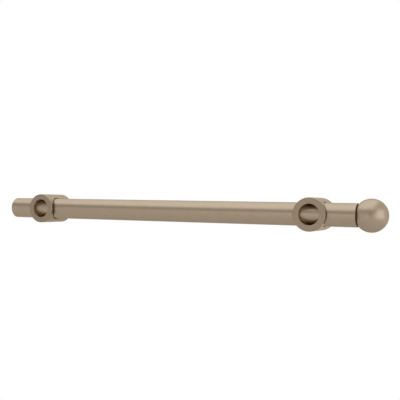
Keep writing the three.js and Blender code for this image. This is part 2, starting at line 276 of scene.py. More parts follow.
def make_piece(name, grids, material, body):
    """A mesh from grids of points, each (points[rows, columns, 3], wrap_rows, wrap_columns), with
    shared points merged, faces turned outwards and edges sharper than SHARP_ANGLE kept crisp. It
    replaces the node of its name and rides on the body."""
    points, faces, first = [], [], 0
    for grid, wrap_rows, wrap_columns in grids:
        rows, columns = grid.shape[:2]
        points.append(grid.reshape(-1, 3))
        faces.append(first + grid_faces(rows, columns, wrap_rows, wrap_columns))
        first += rows * columns
    mesh = bpy.data.meshes.new(name + "_look")
    mesh.from_pydata(np.concatenate(points) * MM, [], np.concatenate(faces).tolist())
    shape = bmesh.new()
    shape.from_mesh(mesh)
    bmesh.ops.remove_doubles(shape, verts=shape.verts, dist=MERGE)
    bmesh.ops.dissolve_degenerate(shape, edges=shape.edges, dist=MERGE)
    bmesh.ops.recalc_face_normals(shape, faces=shape.faces)
    shape.to_mesh(mesh)
    shape.free()
    mesh.shade_smooth()
    mesh.set_sharp_from_angle(angle=np.radians(SHARP_ANGLE))
    mesh.materials.append(material)
    piece = bpy.data.objects.new(name + "_look", mesh)
    bpy.context.scene.collection.objects.link(piece)
    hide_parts(name)
    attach(piece, body)


def rounded(corners, closed=False):
    """An outline through (along, radius, rounding) corners. Each rounding is the arc that touches
    both sides of its corner, starting t = rounding * tan(turn / 2) before it, with a support point
    just outside either end so that the sides stay flat when shaded smooth."""
    corners = np.array(corners, float)
    places, roundings = corners[:, :2], corners[:, 2]
    outline = []
    for k, (place, rounding) in enumerate(zip(places, roundings)):
        at_end = not closed and k in (0, len(places) - 1)
        if at_end or rounding == 0:
            outline.append(place[None])
            continue
        before, after = places[k - 1], places[(k + 1) % len(places)]
        to_place = (place - before) / np.linalg.norm(place - before)
        from_place = (after - place) / np.linalg.norm(after - place)
        turn = np.arccos(np.clip(to_place @ from_place, -1, 1))
        reach = rounding * np.tan(turn / 2)
        start, end = place - reach * to_place, place + reach * from_place
        side = np.sign(to_place[0] * from_place[1] - to_place[1] * from_place[0])
        centre = start + rounding * side * np.array([-to_place[1], to_place[0]])
        angle = np.linspace(0, turn, ROUND_STEPS + 1)[:, None]
        arc = centre + (start - centre) * np.cos(angle) + to_place * rounding * np.sin(angle)
        outline += [(start - SUPPORT * to_place)[None], arc, (end + SUPPORT * from_place)[None]]
    return np.concatenate(outline)


def even_angles(steps):
    """Angles evenly round a full turn, the last one short of the first."""
    return np.linspace(0, 2 * np.pi, steps, endpoint=False)


def revolve(outline, axis, centre=AXIS, angles=None, radius=None):
    """Points at centre + along * axis + r * (cos(angle) * u + sin(angle) * v), for each (along, r)
    of the outline and each angle. A radius array [rows, columns] stands in for r where given."""
    angles = even_angles(TURN_STEPS) if angles is None else angles
    radius = outline[:, 1:2] if radius is None else radius
    u = Y if axis is X else X
    v = Y if axis is Z else Z
    spoke = np.cos(angles)[:, None] * u + np.sin(angles)[:, None] * v
    along = outline[:, 0][:, None, None] * axis
    return centre + along + np.broadcast_to(radius, (len(outline), len(angles)))[..., None] * spoke


def turned(corners, closed=False):
    """One surface turned about the tube's axis from rounded corners. A closed outline is a ring;
    an open one starts and ends on the axis."""
    return [(revolve(rounded(corners, closed), X), closed, True)]


# Posts

def post_columns(radius, front, back, height):
    """The loop of columns round the cross hole on the post's +X half. Its four runs are the front
    edge, the top line, the back edge and the bottom line, whose middle goes round the set
    screw's hole. For each column: its place (turn, y) on the post's rim, and its angle round the
    cross hole and the x where the hole's wall ends, on the bore or at the middle of the post."""
    face = np.linspace(-np.pi / 2, np.pi / 2, POST_FACE_COLUMNS + 1)[:-1]
    side_steps = 2 * POST_SIDE_COLUMNS + SET_SCREW_HOLE_COLUMNS
    side = np.linspace(0, 1, side_steps + 1)[:-1]
    line = np.linspace(0, 1, POST_SIDE_COLUMNS + 1)[:-1]
    half_turn = np.linspace(0, np.pi, SET_SCREW_HOLE_COLUMNS + 1)[:-1]
    screw = SET_SCREW_HOLE_RADIUS
    corner = np.arcsin(POST_BORE_RADIUS / POST_HOLE_RADIUS)
    screw_corner = np.arcsin(screw / POST_HOLE_RADIUS)

    bore_angle = np.arcsin(POST_BORE_RADIUS * np.sin(face) / POST_HOLE_RADIUS)
    bore_x = POST_BORE_RADIUS * np.cos(face)
    hole_angle = np.concatenate([
        bore_angle,
        corner + (np.pi - 2 * corner) * side,
        np.pi + bore_angle,
        np.pi + corner + (np.pi / 2 - corner - screw_corner) * line,
        1.5 * np.pi - np.arcsin(screw * np.cos(half_turn) / POST_HOLE_RADIUS),
        1.5 * np.pi + screw_corner + (np.pi / 2 - corner - screw_corner) * line,
    ])
    end_x = np.concatenate([
        bore_x, 0 * side, bore_x, 0 * line, screw * np.sin(half_turn), 0 * line,
    ])
    rim_turn = np.concatenate([
        face,
        np.pi / 2 + 0 * side,
        -face,
        -np.pi / 2 + 0 * line,
        -np.pi / 2 + np.arcsin(screw * np.sin(half_turn) / radius),
        -np.pi / 2 + 0 * line,
    ])
    rim_y = np.concatenate([
        front + 0 * face,
        front + (back - front) * side,
        back + 0 * face,
        back + (height + screw - back) * line,
        height + screw * np.cos(half_turn),
        height - screw + (front - height + screw) * line,
    ])
    return rim_turn, rim_y, hole_angle, end_x


def post_side(radius, front, back, height):
    """The post's +X side and the wall of its cross hole, one grid from the rim inwards.

    On the side, (turn, y) goes from the rim to the mouth in steps that are finest at both ends, on
    x = R cos(turn), z = R sin(turn). The mouth's edge is a rolled round of radius q: its centre
    runs at (y - height, z) = (m + q)(-cos(angle), sin(angle)), x = sqrt((R - q)^2 - z^2), and its
    arc turns from the post's own spoke to the cross hole's. Then come the mouth's wall at m, its
    floor at depth d on x = sqrt((R - d)^2 - z^2), and the hole's wall to where it ends."""
    turn, rim_y, angle, end_x = post_columns(radius, front, back, height)
    mouth, edge = POST_MOUTH_RADIUS, POST_MOUTH_ROUND
    floor = radius - POST_MOUTH_DEPTH

    def at_hole(x, hole_radius):
        return np.stack([x, height - hole_radius * np.cos(angle), hole_radius * np.sin(angle)], -1)

    def on_post(post_radius, hole_radius):
        return np.sqrt(post_radius ** 2 - (hole_radius * np.sin(angle)) ** 2)

    centre = at_hole(on_post(radius - edge, mouth + edge), mouth + edge)
    mouth_turn = np.arcsin(centre[:, 2] / (radius - edge))
    share = (1 - np.cos(np.linspace(0, np.pi, POST_SIDE_ROWS)))[:, None] / 2
    side_turn = turn + (mouth_turn - turn) * share
    side_y = rim_y + (centre[:, 1] - rim_y) * share
    side = np.stack([radius * np.cos(side_turn), side_y, radius * np.sin(side_turn)], -1)

    out = centre * np.array([1, 0, 1]) / (radius - edge)
    into = np.stack([0 * angle, np.cos(angle), -np.sin(angle)], -1)
    spread = np.arccos(np.sum(out * into, -1))[:, None]
    part = np.linspace(0, 1, ROUND_STEPS + 1)[1:, None, None]
    blend = (np.sin((1 - part) * spread) * out + np.sin(part * spread) * into) / np.sin(spread)
    rolled = centre + edge * blend

    floor_out = at_hole(on_post(floor, mouth), mouth)
    floor_in = at_hole(on_post(floor, POST_HOLE_RADIUS), POST_HOLE_RADIUS)
    wall_end = at_hole(end_x, POST_HOLE_RADIUS)
    wall = floor_in + (wall_end - floor_in) * np.linspace(0, 1, POST_HOLE_ROWS)[:, None, None]
    return np.concatenate([side, rolled, floor_out[None], wall])


def post_end(outline, bore_y):
    """One end of the post on its +X half: the turned outline, then the bore's wall down to the
    curve where the cross hole cuts it, y = height -+ sqrt(h^2 - (b sin(turn))^2)."""
    turn = np.linspace(-np.pi / 2, np.pi / 2, POST_FACE_COLUMNS + 1)
    points = revolve(outline, Y, np.zeros(3), turn)
    spoke = np.stack([np.cos(turn), 0 * turn, np.sin(turn)], -1)
    last = POST_BORE_RADIUS * spoke + bore_y(turn)[:, None] * Y
    return np.concatenate([points, last[None]])


def set_screw_hole(radius, height):
    """Half of the wall of the set screw's hole, from the post's side, z = -sqrt(R^2 - x^2), up to
    the cross hole, z = -sqrt(h^2 - beside^2)."""
    half_turn = np.linspace(0, np.pi, SET_SCREW_HOLE_COLUMNS + 1)
    x = SET_SCREW_HOLE_RADIUS * np.sin(half_turn)
    beside = SET_SCREW_HOLE_RADIUS * np.cos(half_turn)
    low = -np.sqrt(radius ** 2 - x ** 2)
    high = -np.sqrt(POST_HOLE_RADIUS ** 2 - beside ** 2)
    z = low + (high - low) * np.linspace(0, 1, SET_SCREW_HOLE_ROWS)[:, None]
    return np.stack(np.broadcast_arrays(x, height + beside, z), -1)


def post_grids(node):
    """A post's two mirrored halves, each a side, two ends and half of the set screw's hole."""
    low, high = box_mm(node)
    centre = np.array([(low[0] + high[0]) / 2, 0, 0])
    radius = (high[2] - low[2]) / 2
    face, height = low[1], AXIS[1]
    front, back = face + POST_FRONT_ROUND, -POST_BACK_ROUND

    def depth(turn):
        return np.sqrt(POST_HOLE_RADIUS ** 2 - (POST_BORE_RADIUS * np.sin(turn)) ** 2)

    front_outline = rounded([
        (front, radius, 0),
        (face, radius, POST_FRONT_ROUND - MERGE),
        (face, POST_BORE_RADIUS, POST_BORE_ROUND),
        (face + POST_FLOOR / 2, POST_BORE_RADIUS, 0),
    ])[2:]
    back_outline = rounded([
        (back, radius, 0),
        (0, radius, POST_BACK_ROUND - MERGE),
        (0, POST_SCREW_HOLE_RADIUS, SMALL_ROUND),
        (-POST_FLOOR, POST_SCREW_HOLE_RADIUS, SMALL_ROUND),
        (-POST_FLOOR, POST_BORE_RADIUS, POST_BORE_ROUND),
        (-POST_FLOOR - POST_FLOOR / 4, POST_BORE_RADIUS, 0),
    ])[2:]
    # Each outline starts exactly where its round meets the post's side
    front_outline[0] = (front, radius)
    back_outline[0] = (back, radius)
    grids = []
    for mirror in (1, -1):
        flip = np.array([mirror, 1, 1])
        parts = [
            (post_side(radius, front, back, height), True),
            (post_end(front_outline, lambda turn: height - depth(turn)), False),
            (post_end(back_outline, lambda turn: height + depth(turn)), False),
            (set_screw_hole(radius, height), False),
        ]
        grids += [(part * flip + centre, False, wrap) for part, wrap in parts]
    return grids


# Screws

def thread(start, end, radius, depth, pitch, angles, point_length=0.0):
    """Rows of a screw's thread from start to end: r = radius - depth * g(along / pitch - angle
    / 2 pi), with g = sin^2 stretched and cut off at 1, which is 0 on the crest and 1 in the root.
    It fades in over its first turn. At its end it runs out into the core, or over point_length
    it tapers to a point. Returns along[rows] and r[rows, columns]."""
    length = abs(end - start)
    rows = int(length / pitch * THREAD_ROWS_PER_TURN)
    share = np.linspace(0, 1, rows + 1)
    along = start + (end - start) * share
    distance = np.abs(along - start)[:, None]
    turn_share = (distance / pitch - angles / (2 * np.pi)) % 1
    trough = np.clip(THREAD_TROUGH * np.sin(np.pi * turn_share) ** 2, 0, 1)
    fade_in = np.clip(distance / pitch, 0, 1)
    left = np.clip((length - distance) / max(point_length, pitch), 0, 1)
    full = radius - depth * trough * fade_in
    if point_length:
        return along, full * np.minimum(1, left * POINT_REACH) ** POINT_POWER
    core = radius - depth
    return along, core + (full - core) * np.clip(left * THREAD_RUN_OUT, 0, 1)


def cross_angles():
    """Angles that have a column on every corner of a cross-shaped recess."""
    slant = np.arctan2(RECESS_HALF_WIDTH, RECESS_REACH)
    quarter = np.pi / 2
    corners = [0, slant, quarter / 2, quarter - slant, quarter]
    stops = np.arange(len(corners)) * RECESS_STEPS
    one = np.interp(np.arange(stops[-1]), stops, corners)
    return np.concatenate([one + k * quarter for k in range(4)])


def cross_radius(angles):
    """The edge of a cross-shaped recess: the further of its two bars, where a bar's edge is at the
    nearer of reach / cos(angle) and half width / sin(angle)."""
    cosine, sine = np.abs(np.cos(angles)) + MERGE, np.abs(np.sin(angles)) + MERGE
    level = np.minimum(RECESS_REACH / cosine, RECESS_HALF_WIDTH / sine)
    upright = np.minimum(RECESS_REACH / sine, RECESS_HALF_WIDTH / cosine)
    return np.maximum(level, upright)


def hexagon_radius(angles, flat):
    """The edge of a hexagon: flat / cos(angle from the middle of the nearest flat)."""
    return flat / np.cos((angles + np.pi / 6) % (np.pi / 3) - np.pi / 6)


def socket_rows(along, depth, edge, floor_share=1.0):
    """Rows from the middle of a socket's floor to its edge: pole, floor, wall foot, wall top."""
    rows_along = np.array([along + depth, along + depth, along + depth, along])
    rows_radius = np.stack([0 * edge, edge * floor_share / 2, edge * floor_share, edge])
    return rows_along, rows_radius


def stack_rows(runs, columns):
    """Runs of rows, each (along[rows], radius[rows] or [rows, columns]), as one outline and its
    radius[rows, columns], which stands in for the outline's own."""
    along = np.concatenate([np.atleast_1d(run_along) for run_along, _ in runs])
    radius = np.concatenate([
        run if np.ndim(run) == 2 else np.repeat(np.atleast_1d(run)[:, None], columns, 1)
        for _, run in runs
    ])
    return np.stack([along, along], -1), radius


def mounting_screw_grids(node):
    """A pan-head screw along Y: cross recess, rounded head, washer face, wood thread, point."""
    low, high = box_mm(node)
    centre = np.array([(low[0] + high[0]) / 2, 0, 0])
    top, tip = low[1], high[1]
    head = (high[2] - low[2]) / 2
    seat = top + HEAD_HEIGHT
    angles = cross_angles()
    edge = cross_radius(angles)
    head_outline = rounded([
        (top, RECESS_REACH + RECESS_HALF_WIDTH / 3, 0),
        (top, head, HEAD_ROUND),
        (seat, head, SMALL_ROUND),
        (seat, WOOD_THREAD_RADIUS, SMALL_ROUND),
        (seat + SMALL_ROUND * 2, WOOD_THREAD_RADIUS, 0),
    ])
    screw_along, screw_radius = thread(
        seat + SMALL_ROUND * 3, tip, WOOD_THREAD_RADIUS, WOOD_THREAD_DEPTH, WOOD_THREAD_PITCH,
        angles, WOOD_TIP_LENGTH,
    )
    outline, radius = stack_rows([
        socket_rows(top, RECESS_DEPTH, edge, RECESS_TAPER),
        (head_outline[:, 0], head_outline[:, 1]),
        (screw_along, screw_radius),
    ], len(angles))
    return [(revolve(outline, Y, centre, angles, radius), False, True)]


def set_screw_grids(node):
    """A grub screw along Z, from its hexagon socket up to the tip that bears on the tube."""
    low, high = box_mm(node)
    centre = np.array([(low[0] + high[0]) / 2, AXIS[1], 0])
    end, tip = low[2], high[2]
    outer = (high[0] - low[0]) / 2
    angles = even_angles(SMALL_TURN_STEPS)
    edge = hexagon_radius(angles, SET_SCREW_SOCKET_FLAT)
    face = rounded([
        (end, edge.max() + SMALL_ROUND / 2, 0),
        (end, outer, SET_SCREW_ROUND),
        (end + 2 * SET_SCREW_ROUND, outer, 0),
    ])
    threaded = thread(
        end + 2 * SET_SCREW_ROUND, tip - 2 * SET_SCREW_ROUND, outer, FINE_THREAD_DEPTH,
        FINE_THREAD_PITCH, angles,
    )
    point = rounded([
        (tip - 2 * SET_SCREW_ROUND, outer - FINE_THREAD_DEPTH, 0),
        (tip, outer - 3 * SET_SCREW_ROUND, SMALL_ROUND),
        (tip, 0, 0),
    ])
    outline, radius = stack_rows([
        socket_rows(end, SET_SCREW_SOCKET_DEPTH, edge),
        (face[:, 0], face[:, 1]),
        threaded,
        (point[:, 0], point[:, 1]),
    ], len(angles))
    return [(revolve(outline, Z, centre, angles, radius), False, True)]


def knurled(radius, angles, count):
    """Rows of straight knurling that fades at both ends: r = radius - depth * fade *
    |sin(count * angle / 2)|."""
    return radius - KNURL_DEPTH * KNURL_FADE * np.abs(np.sin(count * angles / 2))


def pivot_screw_grids():
    """A shoulder screw along X: hexagon socket, knurled head, plain shoulder, thread."""
    low, high = box_mm("pivot_screw")
    head = (high[2] - low[2]) / 2
    rear, front = low[0], high[0]
    head_front = rear + PIVOT_HEAD_HEIGHT
    shoulder_front = front - PIVOT_THREAD_LENGTH
    angles = even_angles(KNURL_TURN_STEPS)
    edge = hexagon_radius(angles, PIVOT_SOCKET_FLAT)
    face = rounded([
        (rear, edge.max() + SMALL_ROUND, 0),
        (rear, head, 2 * SMALL_ROUND),
        (rear + 4 * SMALL_ROUND, head, 0),
    ])
    grip_along = np.linspace(
        rear + 5 * SMALL_ROUND, head_front - 5 * SMALL_ROUND, len(KNURL_FADE),
    )
    grip = knurled(head, angles, PIVOT_KNURLS)
    shoulder = rounded([
        (head_front - 4 * SMALL_ROUND, head, 0),
        (head_front, head, SMALL_ROUND),
        (head_front, PIVOT_SHOULDER_RADIUS, SMALL_ROUND),
        (shoulder_front, PIVOT_SHOULDER_RADIUS, SMALL_ROUND),
        (shoulder_front, PIVOT_THREAD_RADIUS, 0),
    ])
    threaded = thread(
        shoulder_front, front, PIVOT_THREAD_RADIUS, FINE_THREAD_DEPTH, FINE_THREAD_PITCH, angles,
    )
    outline, radius = stack_rows([
        socket_rows(rear, PIVOT_SOCKET_DEPTH, edge),
        (face[:, 0], face[:, 1]),
        (grip_along, grip),
        (shoulder[:, 0], shoulder[:, 1]),
        threaded,
        (front, 0.0),
    ], len(angles))
    return [(revolve(outline, X, AXIS, angles, radius), False, True)]


def knob_stud_grids():
    """A fully threaded stud along X with a bevel at both ends."""
    low, high = box_mm("knob_stud")
    outer = (high[2] - low[2]) / 2
    rear, front = low[0], high[0]
    angles = even_angles(SMALL_TURN_STEPS)
    core = outer - STUD_BEVEL
    threaded = thread(
        rear + STUD_BEVEL / 2, front - STUD_BEVEL / 2, outer, STUD_THREAD_DEPTH, STUD_THREAD_PITCH,
        angles,
    )
    outline, radius = stack_rows([
        (np.array([rear, rear]), np.array([0, core])),
        threaded,
        (np.array([front, front]), np.array([core, 0])),
    ], len(angles))
    return [(revolve(outline, X, AXIS, angles, radius), False, True)]


# Pieces on the tube's axis

def ring_grids(node, bore, outer_round):
    """A plain turned ring that fills a node's box: a rectangle with rounded corners, carried round
    the tube's axis."""
    low, high = box_mm(node)
    outer = (high[2] - low[2]) / 2
    return turned([
        (low[0], bore, SMALL_ROUND),
        (low[0], outer, outer_round),
        (high[0], outer, outer_round),
        (high[0], bore, SMALL_ROUND),
    ], closed=True)


def outer_tube_grids():
    """A tube: its wall's outline carried round the axis, cut square at the rear and with a larger
    round at its mouth."""
    return turned([
        (tube_low[0], TUBE_BORE_RADIUS, TUBE_CUT_ROUND),
        (tube_low[0], TUBE_RADIUS, TUBE_CUT_ROUND),
        (tube_high[0], TUBE_RADIUS, TUBE_MOUTH_ROUND),
        (tube_high[0], TUBE_BORE_RADIUS, TUBE_CUT_ROUND),
    ], closed=True)


def guide_bush_grids():
    """A bush: a sleeve in the tube's mouth and a flange in front of it, one outline carried round
    the axis."""
    low, high = box_mm("guide_bush")
    flange_radius = (high[2] - low[2]) / 2
    seat = high[0] - BUSH_FLANGE
    return turned([
        (low[0], BUSH_BORE_RADIUS, BUSH_ROUND),
        (low[0], BUSH_BODY_RADIUS, BUSH_ROUND),
        (seat, BUSH_BODY_RADIUS, 0),
        (seat, flange_radius, BUSH_ROUND),
        (high[0], flange_radius, BUSH_ROUND),
        (high[0], BUSH_BORE_RADIUS, BUSH_ROUND),
    ], closed=True)


def rear_plug_grids():
    """A cup-shaped plug, open to the front, with a small dimple in its outer face where it was
    moulded: an open outline from pole to pole, carried round the axis."""
    low, high = box_mm("rear_plug")
    outer = (high[2] - low[2]) / 2
    cup = outer - PLUG_WALL
    return turned([
        (low[0] + PLUG_DIMPLE_DEPTH, 0, 0),
        (low[0] + PLUG_DIMPLE_DEPTH, PLUG_DIMPLE_RADIUS, SMALL_ROUND / 2),
        (low[0], PLUG_DIMPLE_RADIUS + SMALL_ROUND, SMALL_ROUND / 2),
        (low[0], outer, PLUG_ROUND),
        (high[0], outer, PLUG_ROUND),
        (high[0], cup, SMALL_ROUND),
        (low[0] + PLUG_END, cup, PLUG_ROUND),
        (low[0] + PLUG_END, 0, 0),
    ])


def slider_grids():
    """A bored slider with a groove for each friction ring and a counterbore for the pivot screw's
    head and washer: one outline, from the front to the rear outside and back inside, carried round
    the axis."""
    low, high = box_mm("slider")
    outer = (high[2] - low[2]) / 2
    corners = [
        (high[0], SLIDER_BORE_RADIUS, SMALL_ROUND),
        (high[0], outer, SMALL_ROUND),
    ]
    for node in ("front_friction_ring", "rear_friction_ring"):
        ring_low, ring_high = box_mm(node)
        section = ring_high[0] - ring_low[0]
        floor = (ring_high[2] - ring_low[2]) / 2 - section - SLIDER_GROOVE_FLOOR
        corners += [
            (ring_high[0] + SLIDER_GROOVE_SIDE, outer, SMALL_ROUND),
            (ring_high[0] + SLIDER_GROOVE_SIDE, floor, SMALL_ROUND),
            (ring_low[0] - SLIDER_GROOVE_SIDE, floor, SMALL_ROUND),
            (ring_low[0] - SLIDER_GROOVE_SIDE, outer, SMALL_ROUND),
        ]
    washer_front = box_mm("pivot_washer")[1][0] + WASHER_GAP
    corners += [
        (low[0], outer, SLIDER_ROUND),
        (low[0], SLIDER_COUNTERBORE_RADIUS, SMALL_ROUND),
        (washer_front, SLIDER_COUNTERBORE_RADIUS, SMALL_ROUND),
        (washer_front, SLIDER_BORE_RADIUS, SMALL_ROUND),
    ]
    return turned(corners, closed=True)


def friction_ring_grids(node):
    """A torus: along = middle + section * sin(angle), radius = centre + section * cos(angle)."""
    low, high = box_mm(node)
    section = (high[0] - low[0]) / 2
    centre = (high[2] - low[2]) / 2 - section
    angle = even_angles(RING_STEPS)
    middle = (low[0] + high[0]) / 2
    outline = np.stack([middle + section * np.sin(angle), centre + section * np.cos(angle)], -1)
    return [(revolve(outline, X), True, True)]


def stop_buffer_grids():
    """A rubber ring round the rod, with softer outer edges than its bore has."""
    rod_low, rod_high = box_mm("inner_rod")
    bore = (rod_high[2] - rod_low[2]) / 2 + SMALL_ROUND
    return ring_grids("stop_buffer", bore, 2 * SMALL_ROUND)


def insert_grids(node, bore):
    """A pressed-in bush whose outside is knurled between two plain bands."""
    low, high = box_mm(node)
    outer = (high[2] - low[2]) / 2
    angles = even_angles(KNURL_TURN_STEPS)
    front = rounded([
        (low[0] + INSERT_BAND, bore, 0),
        (low[0], bore, 2 * SMALL_ROUND),
        (low[0], outer, SMALL_ROUND),
        (low[0] + INSERT_BAND, outer, 0),
    ])
    back = rounded([
        (high[0] - INSERT_BAND, outer, 0),
        (high[0], outer, SMALL_ROUND),
        (high[0], bore, 2 * SMALL_ROUND),
        (high[0] - INSERT_BAND, bore, 0),
    ])
    grip_along = np.linspace(
        low[0] + INSERT_GRIP_FROM, high[0] - INSERT_GRIP_FROM, len(KNURL_FADE),
    )
    grip = knurled(outer, angles, INSERT_KNURLS)
    outline, radius = stack_rows([
        (front[:, 0], front[:, 1]),
        (grip_along, grip),
        (back[:, 0], back[:, 1]),
    ], len(angles))
    return [(revolve(outline, X, AXIS, angles, radius), True, True)]


def ball_knob_grids():
    """A ball cut flat at the back, with a socket for the rod's end and a threaded hole. The edge
    of the flat is a quadratic curve from the flat to the ball, through the corner as its handle;
    the ball is along = centre + R sin(angle), radius = R cos(angle)."""
    low, high = box_mm("ball_knob")
    radius = (high[2] - low[2]) / 2
    back, centre = low[0], high[0] - radius
    flat = np.sqrt(radius ** 2 - (centre - back) ** 2)
    socket_floor = back + BALL_SOCKET_DEPTH
    thread_end = box_mm("knob_stud")[1][0] + BALL_THREAD_END_GAP
    inside = rounded([
        (thread_end, 0, 0),
        (thread_end, BALL_THREAD_RADIUS, SMALL_ROUND),
        (socket_floor, BALL_THREAD_RADIUS, 2 * SMALL_ROUND),
        (socket_floor, BALL_SOCKET_RADIUS, SMALL_ROUND),
        (back, BALL_SOCKET_RADIUS, SMALL_ROUND),
        (back, flat - BALL_BACK_ROUND, 0),
    ])
    edge_angle = np.arcsin((centre - back - BALL_BACK_ROUND) / radius)
    angle = np.linspace(-edge_angle, np.pi / 2, BALL_STEPS + 1)
    ball = np.stack([centre + radius * np.sin(angle), radius * np.cos(angle)], -1)
    share = np.linspace(0, 1, ROUND_STEPS + 1)[1:-1, None]
    start, handle, end = inside[-1], np.array([back, flat]), ball[0]
    edge = (1 - share) ** 2 * start + 2 * share * (1 - share) * handle + share ** 2 * end
    outline = np.concatenate([inside, edge, ball])
    outline[-1, 1] = 0
    return [(revolve(outline, X), False, True)]


# Materials

class Nodes:
    """A material's node tree, with short calls to add nodes and join them."""

    def __init__(self, name):
        self.material = bpy.data.materials.new(name)
        self.material.use_nodes = True
        self.tree = self.material.node_tree
        self.shader = self.tree.nodes["Principled BSDF"]

    def add(self, kind, **values):
        node = self.tree.nodes.new(kind)
        for key, value in values.items():
            setattr(node, key, value)
        return node

    def join(self, output, socket):
        self.tree.links.new(output, socket)

    def math(self, operation, *values):
        node = self.add("ShaderNodeMath", operation=operation)
        for socket, value in zip(node.inputs, values):
            if isinstance(value, (int, float)):
                socket.default_value = value
            else:
                self.join(value, socket)
        return node.outputs[0]

    def object_point(self, centre_mm=(0, 0, 0)):
        """Object coordinates in millimetres, measured from a centre."""
        place = self.add("ShaderNodeTexCoord").outputs["Object"]
        moved = self.add("ShaderNodeMapping", vector_type="POINT")
        moved.inputs["Scale"].default_value = (1 / MM, 1 / MM, 1 / MM)
        moved.inputs["Location"].default_value = tuple(-float(c) for c in centre_mm)
        self.join(place, moved.inputs["Vector"])
        return moved.outputs["Vector"]

    def blend(self, first, second, share):
        """A value of which the second makes up the share."""
        kept = self.math("MULTIPLY", first, 1 - share)
        return self.math("ADD", kept, self.math("MULTIPLY", second, share))

    def noise(self, vector, scale, detail, roughness):
        node = self.add("ShaderNodeTexNoise", noise_dimensions="3D")
        node.inputs["Scale"].default_value = scale
        node.inputs["Detail"].default_value = detail
        node.inputs["Roughness"].default_value = roughness
        self.join(vector, node.inputs["Vector"])
        return node.outputs[0]

    def between(self, value, span, to_span=(0, 1)):
        """A value stretched from one range to another."""
        node = self.add("ShaderNodeMapRange")
        for name, number in zip(("From Min", "From Max", "To Min", "To Max"), (*span, *to_span)):
            node.inputs[name].default_value = number
        self.join(value, node.inputs["Value"])
        return node.outputs["Result"]

    def shade(self, value, dark, light):
        """A colour between two colours or colour outputs, by a value from 0 to 1."""
        node = self.add("ShaderNodeMix", data_type="RGBA")
        sockets = [socket for socket in node.inputs if socket.type == "RGBA"]
        for socket, colour in zip(sockets, (dark, light)):
            if isinstance(colour, tuple):
                socket.default_value = (*colour, 1)
            else:
                self.join(colour, socket)
        self.join(value, node.inputs[0])
        return next(output for output in node.outputs if output.type == "RGBA")

    def bump(self, height, distance_mm, strength=1.0):
        node = self.add("ShaderNodeBump")
        node.inputs["Distance"].default_value = distance_mm * MM
        node.inputs["Strength"].default_value = strength
        self.join(height, node.inputs["Height"])
        return node.outputs["Normal"]


def scaled(colour, factor):
    return tuple(factor * c for c in colour)


def around(value, spread):
    return value - spread, value + spread


def lathe_point(nodes, axis, centre_mm):
    """The point (distance along the axis, distance from the axis, a little of the angle round it),
    so that a noise over it runs in rings, as marks from turning or polishing do. With it come the
    plain point and the distance from the axis."""
    point = nodes.object_point(centre_mm)
    split = nodes.add("ShaderNodeSeparateXYZ")
    nodes.join(point, split.inputs[0])
    along = split.outputs["XYZ".index(axis)]
    across = [output for output, letter in zip(split.outputs, "XYZ") if letter != axis]
    first, second = (nodes.math("MULTIPLY", side, side) for side in across)
    out = nodes.math("SQRT", nodes.math("ADD", first, second))
    round_it = nodes.math("ARCTAN2", across[0], across[1])
    joined = nodes.add("ShaderNodeCombineXYZ")
    nodes.join(along, joined.inputs[0])
    nodes.join(out, joined.inputs[1])
    nodes.join(nodes.math("MULTIPLY", round_it, RING_WANDER), joined.inputs[2])
    return joined.outputs[0], point, out


def satin_nickel(name, colour, edge_tint, axis, centre_mm, bore_radius=None):
    """Satin nickel plate over a turned part: a colour with fine rings from polishing and a soft
    cloudiness, and a roughness and relief that follow the rings and a fine grain. Inside a bore of
    the given radius the colour is painted paler and less metallic: painted light that stands in
    for the light bouncing about in the bore."""
    nodes = Nodes(name)
    rings, point, out = lathe_point(nodes, axis, centre_mm)
    marks = nodes.noise(rings, **SATIN_MARKS)
    cloud = nodes.noise(point, **SATIN_CLOUD)
    grain = nodes.noise(point, **SATIN_GRAIN)
    tone = nodes.blend(marks, cloud, SATIN_CLOUD_IN_TONE)
    dark, light = (scaled(colour, factor) for factor in around(1, SATIN_TONE_SPREAD))
    plate = nodes.shade(nodes.between(tone, TONE_RANGE), dark, light)
    nodes.shader.inputs["Metallic"].default_value = PLATE_METALLIC
    if bore_radius is not None:
        # Painted light: inside the bore the colour turns paler and less metallic, standing in for
        # light bouncing in the bore
        painted_light_in_bore = nodes.math("LESS_THAN", out, bore_radius)
        plate = nodes.shade(painted_light_in_bore, plate, BORE_PAINTED_LIGHT_COLOUR)
        metallic = nodes.between(painted_light_in_bore, (0, 1), (PLATE_METALLIC, BORE_PAINTED_LIGHT_METALLIC))
        nodes.join(metallic, nodes.shader.inputs["Metallic"])
    nodes.join(plate, nodes.shader.inputs["Base Color"])
    rough = nodes.blend(marks, grain, SATIN_GRAIN_IN_ROUGHNESS)
    roughness = around(SATIN_ROUGHNESS, SATIN_ROUGHNESS_SPREAD)
    nodes.join(
        nodes.between(rough, ROUGHNESS_RANGE, roughness), nodes.shader.inputs["Roughness"],
    )
    relief = nodes.blend(marks, grain, SATIN_GRAIN_IN_RELIEF)
    nodes.join(nodes.bump(relief, SATIN_RELIEF_MM), nodes.shader.inputs["Normal"])
    nodes.shader.inputs["Specular Tint"].default_value = (*edge_tint, 1)
    return nodes.material


def plated_steel(name, axis, centre_mm):
    """Bright zinc plate on a machined screw, washer or insert: a cloudy colour, and a roughness
    and relief that follow the marks of turning."""
    nodes = Nodes(name)
    rings, point, _ = lathe_point(nodes, axis, centre_mm)
    marks = nodes.noise(rings, **ZINC_MARKS)
    cloud = nodes.noise(point, **ZINC_CLOUD)
    nodes.join(
        nodes.shade(nodes.between(cloud, TONE_RANGE), ZINC_DARK, ZINC_LIGHT),
        nodes.shader.inputs["Base Color"],
    )
    nodes.join(
        nodes.between(marks, ROUGHNESS_RANGE, ZINC_ROUGHNESS), nodes.shader.inputs["Roughness"],
    )
    nodes.join(nodes.bump(marks, ZINC_RELIEF_MM), nodes.shader.inputs["Normal"])
    nodes.shader.inputs["Metallic"].default_value = 1.0
    return nodes.material


